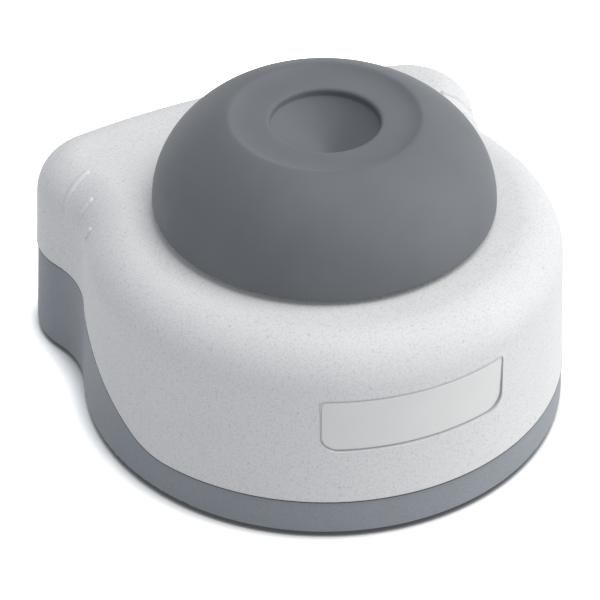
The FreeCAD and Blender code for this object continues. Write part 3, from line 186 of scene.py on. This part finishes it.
def speckledPlastic(name, look):
    material, tree, shader, coords = newMaterial(name)
    cloud = noise(tree, coords, *look["cloud"])
    cloudy = mapRange(tree, cloud, *look["cloudBand"])
    body = mixColour(tree, cloudy, look["colour"], look["cloudColour"])
    grain = noise(tree, coords, *look["grain"])
    mottle = noise(tree, coords, *look["mottle"])
    tint = mapRange(tree, mottle, *look["mottleBand"], 0.0, look["mottleTint"])
    body = mixColour(tree, tint, body, look["darkColour"])
    for scale in look["speckScales"]:
        body = mixColour(tree, specks(tree, coords, scale, look), body, look["darkColour"])
    link(tree, shadeCreases(tree, body, look), shader.inputs["Base Color"])
    addBump(tree, shader, grain, look["grainDepth"], look["grainStrength"], look["edge"])
    roughness = mapRange(tree, grain, *look["grainBand"], look["smooth"], look["rough"])
    link(tree, roughness, shader.inputs["Roughness"])
    shader.inputs["Specular IOR Level"].default_value = look["specular"]
    return material


# Rubber of the head, and of feet and gaiter

noiseBand = (0.3, 0.7)  # where a noise takes a finish from one end to the other
headRubber = {
    "colour": (0.171, 0.183, 0.198), "cloudColour": (0.160, 0.172, 0.187), "cloud": (60.0, 4.0, 0.5),
    "grain": (2200.0, 3.0, 0.6), "grainDepth": 0.00005, "grainStrength": 0.5,
    "smooth": 0.55, "rough": 0.64, "edge": 0.0006, "specular": 0.30, "sheen": 0.06, "sheenRough": 0.5,
}
blackRubber = {
    "colour": (0.028, 0.028, 0.030), "cloudColour": (0.022, 0.022, 0.024), "cloud": (120.0, 4.0, 0.5),
    "grain": (2200.0, 3.0, 0.6), "grainDepth": 0.00004, "grainStrength": 0.4,
    "smooth": 0.60, "rough": 0.72, "edge": 0.0, "specular": 0.30, "sheen": 0.04, "sheenRough": 0.5,
}


def softRubber(name, look):
    material, tree, shader, coords = newMaterial(name)
    cloud = noise(tree, coords, *look["cloud"])
    body = mixColour(tree, mapRange(tree, cloud, *noiseBand), look["colour"], look["cloudColour"])
    link(tree, body, shader.inputs["Base Color"])
    grain = noise(tree, coords, *look["grain"])
    addBump(tree, shader, grain, look["grainDepth"], look["grainStrength"], look["edge"])
    roughness = mapRange(tree, cloud, *noiseBand, look["smooth"], look["rough"])
    link(tree, roughness, shader.inputs["Roughness"])
    shader.inputs["Specular IOR Level"].default_value = look["specular"]
    shader.inputs["Sheen Weight"].default_value = look["sheen"]
    shader.inputs["Sheen Roughness"].default_value = look["sheenRough"]
    return material


# Plain mouldings, insulation and ferrite: colour, cloud colour, smoothest and roughest

plainMould = {
    "cloud": (110.0, 3.0, 0.5), "grain": (1800.0, 2.0, 0.5), "grainDepth": 0.00003, "grainStrength": 0.3,
}


def mouldedPlastic(name, look):
    colour, cloudColour, smooth, rough = look
    material, tree, shader, coords = newMaterial(name)
    cloud = noise(tree, coords, *plainMould["cloud"])
    body = mixColour(tree, mapRange(tree, cloud, *noiseBand), colour, cloudColour)
    link(tree, body, shader.inputs["Base Color"])
    grain = noise(tree, coords, *plainMould["grain"])
    addBump(tree, shader, grain, plainMould["grainDepth"], plainMould["grainStrength"])
    link(tree, mapRange(tree, grain, *noiseBand, smooth, rough), shader.inputs["Roughness"])
    return material


# Metals: the lines of drawing, turning or casting, stretched along one axis

metalLines = {"noise": (3.0, 0.6), "depth": 0.00002}


def metal(name, look):
    material, tree, shader, coords = newMaterial(name)
    stretch = addNode(tree, "ShaderNodeMapping", {"Scale": (1.0, 1.0, look["stretch"])})
    link(tree, coords, stretch.inputs["Vector"])
    lines = noise(tree, stretch.outputs["Vector"], look["lineScale"], *metalLines["noise"])
    body = mixColour(tree, mapRange(tree, lines, *noiseBand), look["colour"], look["lineColour"])
    link(tree, body, shader.inputs["Base Color"])
    roughness = mapRange(tree, lines, *noiseBand, look["smooth"], look["rough"])
    link(tree, roughness, shader.inputs["Roughness"])
    addBump(tree, shader, lines, metalLines["depth"], look["lineStrength"])
    shader.inputs["Metallic"].default_value = 1.0
    return material


looks = {
    "cover_white": (speckledPlastic, coverPlastic),
    "base_grey": (speckledPlastic, basePlastic),
    "label_grey": (mouldedPlastic, ((0.83, 0.83, 0.825), (0.815, 0.815, 0.81), 0.34, 0.42)),
    "head_rubber": (softRubber, headRubber),
    "soft_rubber": (softRubber, blackRubber),
    "carrier_black": (mouldedPlastic, ((0.03, 0.03, 0.032), (0.024, 0.024, 0.026), 0.35, 0.5)),
    "nylon": (mouldedPlastic, ((0.78, 0.76, 0.70), (0.74, 0.72, 0.66), 0.35, 0.5)),
    "board_green": (mouldedPlastic, ((0.02, 0.16, 0.06), (0.015, 0.13, 0.05), 0.25, 0.4)),
    "part_black": (mouldedPlastic, ((0.02, 0.02, 0.022), (0.015, 0.015, 0.017), 0.3, 0.45)),
    "wire_red": (mouldedPlastic, ((0.40, 0.02, 0.015), (0.34, 0.015, 0.012), 0.35, 0.5)),
    "wire_black": (mouldedPlastic, ((0.015, 0.015, 0.016), (0.012, 0.012, 0.013), 0.35, 0.5)),
    "steel": (metal, {
        "colour": (0.55, 0.56, 0.58), "lineColour": (0.44, 0.45, 0.47), "stretch": 9.0,
        "lineScale": 700.0, "smooth": 0.30, "rough": 0.42, "lineStrength": 0.2}),
    "bright_steel": (metal, {
        "colour": (0.74, 0.75, 0.77), "lineColour": (0.66, 0.67, 0.69), "stretch": 6.0,
        "lineScale": 500.0, "smooth": 0.14, "rough": 0.24, "lineStrength": 0.1}),
    "cast_steel": (metal, {
        "colour": (0.20, 0.20, 0.21), "lineColour": (0.14, 0.14, 0.15), "stretch": 1.0,
        "lineScale": 900.0, "smooth": 0.55, "rough": 0.70, "lineStrength": 0.8}),
    "copper": (metal, {
        "colour": (0.70, 0.33, 0.17), "lineColour": (0.52, 0.22, 0.10), "stretch": 12.0,
        "lineScale": 900.0, "smooth": 0.22, "rough": 0.36, "lineStrength": 0.5}),
    "brass": (metal, {
        "colour": (0.72, 0.53, 0.24), "lineColour": (0.60, 0.42, 0.17), "stretch": 8.0,
        "lineScale": 700.0, "smooth": 0.22, "rough": 0.34, "lineStrength": 0.2}),
    "ferrite": (mouldedPlastic, ((0.06, 0.06, 0.065), (0.04, 0.04, 0.045), 0.5, 0.7)),
}
finishes = {name: make(name, look) for name, (make, look) in looks.items()}
print("materials made:", len(finishes))


# Geometry Nodes helpers

def startTree(name, inputs):
    tree = bpy.data.node_groups.new(name, "GeometryNodeTree")
    tree.is_modifier = True
    for socket, kind in {"Geometry": "Geometry", **inputs}.items():
        tree.interface.new_socket(socket, in_out="INPUT", socket_type="NodeSocket" + kind)
    tree.interface.new_socket("Geometry", in_out="OUTPUT", socket_type="NodeSocketGeometry")
    start = addNode(tree, "NodeGroupInput")
    end = addNode(tree, "NodeGroupOutput")
    return tree, start.outputs, end.inputs["Geometry"]


def sweep(tree, curve, radius, sides, caps):
    profile = addNode(tree, "GeometryNodeCurvePrimitiveCircle", {"Resolution": sides}, mode="RADIUS")
    tube = addNode(tree, "GeometryNodeCurveToMesh", {"Fill Caps": caps})
    link(tree, radius, profile.inputs["Radius"])
    link(tree, curve, tube.inputs["Curve"])
    link(tree, profile.outputs["Curve"], tube.inputs["Profile Curve"])
    return tube.outputs["Mesh"]


def endTree(tree, shape, material, end):
    plain = addNode(tree, "GeometryNodeRealizeInstances")
    paint = addNode(tree, "GeometryNodeSetMaterial")
    link(tree, shape, plain.inputs["Geometry"])
    link(tree, plain.outputs["Geometry"], paint.inputs["Geometry"])
    link(tree, material, paint.inputs["Material"])
    link(tree, paint.outputs["Geometry"], end)


def addGrowth(piece, tree, values):
    growth = piece.modifiers.new(tree.name, "NODES")
    growth.node_group = tree
    for name, value in values.items():
        key = next(item.identifier for item in tree.interface.items_tree
                   if item.name == name and item.in_out == "INPUT")
        growth[key] = value


def addPiece(name, data):
    piece = bpy.data.objects.new(name, data)
    bpy.context.scene.collection.objects.link(piece)
    return piece


def evaluatedMesh(piece):
    return bpy.data.meshes.new_from_object(piece.evaluated_get(bpy.context.evaluated_depsgraph_get()))


def grown(name, mesh, tree, values):
    seed = addPiece(name + "Seed", mesh)
    addGrowth(seed, tree, values)
    shape = evaluatedMesh(seed)
    bpy.data.objects.remove(seed)
    shape.name = name
    return addPiece(name, shape)


# Even shading for the frame's own meshes: merged points, edges sharp past an angle

softNormals = {"Sharp Angle": math.radians(24.0), "Merge Distance": 0.000004}


def softNormalsTree():
    tree, start, end = startTree("softNormals", {name: "Float" for name in softNormals})
    merge = addNode(tree, "GeometryNodeMergeByDistance")
    smooth = addNode(tree, "GeometryNodeSetShadeSmooth", domain="FACE")
    sharp = addNode(tree, "GeometryNodeSetShadeSmooth", {"Shade Smooth": False}, domain="EDGE")
    edgeAngle = addNode(tree, "GeometryNodeInputMeshEdgeAngle")
    compare = addNode(tree, "FunctionNodeCompare", data_type="FLOAT", operation="GREATER_THAN")
    link(tree, start["Geometry"], merge.inputs["Geometry"])
    link(tree, start["Merge Distance"], merge.inputs["Distance"])
    link(tree, merge.outputs["Geometry"], smooth.inputs["Geometry"])
    link(tree, smooth.outputs["Geometry"], sharp.inputs["Geometry"])
    link(tree, edgeAngle.outputs["Unsigned Angle"], compare.inputs["A"])
    link(tree, start["Sharp Angle"], compare.inputs["B"])
    link(tree, compare.outputs["Result"], sharp.inputs["Selection"])
    link(tree, sharp.outputs["Geometry"], end)
    return tree


shadingTree = softNormalsTree()
for name, node in nodes.items():
    node.data.materials.clear()
    node.data.materials.append(finishes[slotOf[name]])
    addGrowth(node, shadingTree, softNormals)
print("frame dressed")


# Painted shade: a thin black tube stands in for the shade in the gap between cover and tray; it follows
# the cover's lower edge, just inside the wall

gapShadeLine = {
    "inward": 0.00012, "below": 0.00016, "radius": 0.00018, "step": 0.0006, "sides": 6,
    "merge": 0.000004,
    "underSlope": -0.6, "wallSlope": 0.3,  # how far the faces under and beside the edge look up or down
}


def lowerEdges(mesh):
    middle = sum((v.co for v in mesh.verts), Vector()) / len(mesh.verts)
    chosen = []
    for edge in mesh.edges:
        if len(edge.link_faces) != 2:
            continue
        under, side = sorted((face.normal for face in edge.link_faces), key=lambda normal: normal.z)
        spot = (edge.verts[0].co + edge.verts[1].co) / 2
        away = Vector((spot.x - middle.x, spot.y - middle.y, 0.0))
        upright = abs(side.z) < gapShadeLine["wallSlope"] and side.dot(away) > 0.0
        if upright and under.z < gapShadeLine["underSlope"]:
            chosen.append((edge, side))
    return chosen


def longestChain(edges):
    links = {}
    sides = {}
    for edge, side in edges:
        a, b = edge.verts
        links.setdefault(a, []).append(b)
        links.setdefault(b, []).append(a)
        sides[a] = side
        sides[b] = side
    best = []
    seen = set()
    for start in sorted(links, key=lambda v: v.index):
        if start in seen:
            continue
        chain = [start]
        seen.add(start)
        following = True
        while following:
            free = [v for v in links[chain[-1]] if v not in seen]
            following = bool(free)
            if following:
                chain.append(free[0])
                seen.add(free[0])
        if len(chain) > len(best):
            best = chain
    return best, sides


def gapPath():
    mesh = bmesh.new()
    mesh.from_mesh(nodes["top_cover"].data)
    bmesh.ops.remove_doubles(mesh, verts=mesh.verts, dist=gapShadeLine["merge"])
    mesh.verts.index_update()
    chain, sides = longestChain(lowerEdges(mesh))
    points = []
    for v in chain:
        side = Vector((sides[v].x, sides[v].y, 0.0)).normalized()
        points.append(v.co - side * gapShadeLine["inward"] - Vector((0.0, 0.0, gapShadeLine["below"])))
    mesh.free()
    return points


def gapShadeTree():
    tree, start, end = startTree("gapShadeLine", {
        "Radius": "Float", "Step": "Float", "Material": "Material"})
    curve = addNode(tree, "GeometryNodeMeshToCurve")
    even = addNode(tree, "GeometryNodeResampleCurve", mode="LENGTH")
    link(tree, start["Geometry"], curve.inputs["Mesh"])
    link(tree, curve.outputs["Curve"], even.inputs["Curve"])
    link(tree, start["Step"], even.inputs["Length"])
    tube = sweep(tree, even.outputs["Curve"], start["Radius"], gapShadeLine["sides"], False)
    endTree(tree, tube, start["Material"], end)
    return tree


def makeGapShadeLine():
    points = gapPath()
    count = len(points)
    path = bpy.data.meshes.new("gapPath")
    path.from_pydata(points, [(i, (i + 1) % count) for i in range(count)], [])
    line = grown("caseGapShadeLine", path, gapShadeTree(), {
        "Radius": gapShadeLine["radius"], "Step": gapShadeLine["step"], "Material": finishes["part_black"]})
    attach(line, "housing")
    print("gap line:", count, "points,", len(line.data.polygons), "faces")


makeGapShadeLine()


# Round-wire lift springs in place of the square-wired ones

liftSpring = {"wire": 0.001, "turns": 4.0, "turnPoints": 32, "wireSides": 10, "travel": 0.0008}


def springTree():
    tree, start, end = startTree("liftSpring", {
        "Radius": "Float", "Height": "Float", "Turns": "Float", "Wire Radius": "Float",
        "Spot": "Vector", "Material": "Material"})
    coil = addNode(tree, "GeometryNodeCurveSpiral", {"Resolution": liftSpring["turnPoints"]})
    put = addNode(tree, "GeometryNodeTransform")
    link(tree, start["Turns"], coil.inputs["Rotations"])
    link(tree, start["Radius"], coil.inputs["Start Radius"])
    link(tree, start["Radius"], coil.inputs["End Radius"])
    link(tree, start["Height"], coil.inputs["Height"])
    wire = sweep(tree, coil.outputs["Curve"], start["Wire Radius"], liftSpring["wireSides"], True)
    link(tree, wire, put.inputs["Geometry"])
    link(tree, start["Spot"], put.inputs["Translation"])
    endTree(tree, put.outputs["Geometry"], start["Material"], end)
    return tree


def makeLiftSpring(side, tree):
    node = "lift_spring_" + side
    low, high = (Vector(corner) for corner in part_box(node))
    wire = liftSpring["wire"]
    middle = (low + high) / 2
    spring = grown("liftSpring" + side.capitalize(), bpy.data.meshes.new("springSeed"), tree, {
        "Radius": (high.x - low.x - wire) / 2, "Height": high.z - low.z - wire,
        "Turns": liftSpring["turns"], "Wire Radius": wire / 2,
        "Spot": (middle.x, middle.y, low.z + wire / 2), "Material": finishes[slotOf[node]]})
    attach(spring, "housing")
    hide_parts(node)
    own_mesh(spring)
    return len(spring.data.polygons)


coilTree = springTree()
print("lift springs:", [makeLiftSpring(side, coilTree) for side in ("left", "right", "rear")], "faces")


# Motor leads, which run from the board's terminal block to the motor's terminals: a copy of the frame's
# leads with their even shading

def makeMotorLeads():
    leads = addPiece("motorLeadsBending", evaluatedMesh(nodes["motor_leads"]))
    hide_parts("motor_leads")
    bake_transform(leads)
    print("motor leads:", len(leads.data.polygons), "faces")


makeMotorLeads()


# Camera at the photograph's viewing angle

view = {
    "eye": Vector((-0.19929, -0.47760, 0.41953)),
    "aim": Vector((-0.00486, -0.00117, 0.02240)),
    "roll": 0.31,
    "focalPixels": 2868.6,
    "imagePixels": 600.0,
    "sensor": 36.0,
    "clip": (0.01, 10.0),
}


def placeCamera():
    data = bpy.data.cameras.new("camera")
    data.sensor_width = view["sensor"]
    data.lens = view["focalPixels"] / view["imagePixels"] * view["sensor"]
    data.clip_start, data.clip_end = view["clip"]
    camera = addPiece("camera", data)
    back = (view["eye"] - view["aim"]).normalized()
    right = Vector((0.0, 0.0, 1.0)).cross(back).normalized()
    up = back.cross(right)
    tilt = math.radians(view["roll"])
    turnedRight = right * math.cos(tilt) + up * math.sin(tilt)
    turnedUp = up * math.cos(tilt) - right * math.sin(tilt)
    basis = Matrix((turnedRight, turnedUp, back)).transposed()
    camera.matrix_world = Matrix.Translation(view["eye"]) @ basis.to_4x4()
    bpy.context.scene.camera = camera


placeCamera()


# Floor: pale paper that lights the object a little; the camera sees it white, with a contact shade

floorPaper = {
    "size": 3.0, "colour": (0.80, 0.80, 0.80), "cloudColour": (0.79, 0.79, 0.79),
    "cloud": (40.0, 2.0, 0.5), "rough": 0.9, "glow": 0.42,
    "seen": (2.8, 2.8, 2.8), "shade": (0.30, 0.30, 0.30), "shadeReach": 0.012,
    "shadeBand": (0.30, 0.90), "shadeSamples": 16,
}


def makeFloor():
    half = floorPaper["size"] / 2
    mesh = bpy.data.meshes.new("floor")
    corners = [(-half, -half, 0.0), (half, -half, 0.0), (half, half, 0.0), (-half, half, 0.0)]
    mesh.from_pydata(corners, [], [(0, 1, 2, 3)])
    floor = addPiece("floor", mesh)
    material, tree, shader, coords = newMaterial("floor_paper")
    shader.inputs["Roughness"].default_value = floorPaper["rough"]
    shader.inputs["Specular IOR Level"].default_value = 0.0
    paper = mixColour(tree, noise(tree, coords, *floorPaper["cloud"]), floorPaper["colour"],
                      floorPaper["cloudColour"])
    link(tree, paper, shader.inputs["Base Color"])
    glow = addNode(tree, "ShaderNodeEmission", {"Strength": floorPaper["glow"]})
    near = addNode(tree, "ShaderNodeAmbientOcclusion", {"Distance": floorPaper["shadeReach"]},
                   samples=floorPaper["shadeSamples"])
    unshaded = mapRange(tree, near.outputs["AO"], *floorPaper["shadeBand"])
    shown = mixColour(tree, unshaded, floorPaper["shade"], floorPaper["seen"])
    bright = addNode(tree, "ShaderNodeBsdfDiffuse")
    link(tree, shown, bright.inputs["Color"])
    paths = addNode(tree, "ShaderNodeLightPath")
    add = addNode(tree, "ShaderNodeAddShader")
    reflected = addNode(tree, "ShaderNodeMixShader")
    seen = addNode(tree, "ShaderNodeMixShader")
    output = next(n for n in tree.nodes if n.type == "OUTPUT_MATERIAL")
    link(tree, shader.outputs["BSDF"], add.inputs[0])
    link(tree, glow.outputs["Emission"], add.inputs[1])
    mirrored = combine(tree, "MAXIMUM", paths.outputs["Is Glossy Ray"],
                       paths.outputs["Is Transmission Ray"])
    link(tree, mirrored, reflected.inputs[0])
    link(tree, shader.outputs["BSDF"], reflected.inputs[1])
    link(tree, add.outputs["Shader"], reflected.inputs[2])
    link(tree, paths.outputs["Is Camera Ray"], seen.inputs[0])
    link(tree, reflected.outputs["Shader"], seen.inputs[1])
    link(tree, bright.outputs["BSDF"], seen.inputs[2])
    link(tree, seen.outputs["Shader"], output.inputs["Surface"])
    mesh.materials.append(material)


# World: soft light all round; the camera sees it white, and reflections a little greyer

studioWorld = {"colour": (0.93, 0.985, 1.06), "strength": 0.34, "mirrored": 0.8}


def makeWorld():
    world = bpy.data.worlds.new("studio")
    world.use_nodes = True
    tree = world.node_tree
    tree.nodes.clear()
    output = addNode(tree, "ShaderNodeOutputWorld")
    light = addNode(tree, "ShaderNodeBackground", {
        "Color": (*studioWorld["colour"], 1.0), "Strength": studioWorld["strength"]})
    white = addNode(tree, "ShaderNodeBackground", {"Color": (1.0, 1.0, 1.0, 1.0)})
    paths = addNode(tree, "ShaderNodeLightPath")
    extra = combine(tree, "MULTIPLY", paths.outputs["Is Camera Ray"], 1.0 - studioWorld["mirrored"])
    link(tree, combine(tree, "ADD", extra, studioWorld["mirrored"]), white.inputs["Strength"])
    mix = addNode(tree, "ShaderNodeMixShader")
    seen = combine(tree, "MAXIMUM", paths.outputs["Is Camera Ray"], paths.outputs["Is Glossy Ray"])
    seen = combine(tree, "MAXIMUM", seen, paths.outputs["Is Transmission Ray"])
    link(tree, seen, mix.inputs[0])
    link(tree, light.outputs["Background"], mix.inputs[1])
    link(tree, white.outputs["Background"], mix.inputs[2])
    link(tree, mix.outputs["Shader"], output.inputs["Surface"])
    bpy.context.scene.world = world


# Lamps: turn and height in degrees, spread as the softness of the shadow

lamps = {
    "key": {"strength": 1.63, "turn": 66.0, "height": 70.0, "spread": 50.0, "shadow": True},
    "side": {"strength": 0.95, "turn": 66.0, "height": 20.0, "spread": 40.0, "shadow": False},
}
lampColour = (1.02, 1.0, 0.975)


def makeLamp(name, lamp):
    data = bpy.data.lights.new(name, "SUN")
    data.energy = lamp["strength"]
    data.angle = math.radians(lamp["spread"])
    data.use_shadow = lamp["shadow"]
    data.color = lampColour
    turn = math.radians(lamp["turn"])
    height = math.radians(lamp["height"])
    flat = math.cos(height)
    away = Vector((math.sin(turn) * flat, -math.cos(turn) * flat, math.sin(height)))
    addPiece(name, data).rotation_euler = away.to_track_quat("Z", "Y").to_euler()


makeFloor()
makeWorld()
for name, lamp in lamps.items():
    makeLamp(name, lamp)
bpy.context.scene.view_settings.view_transform = "Standard"
print("stage, camera and lamps ready")
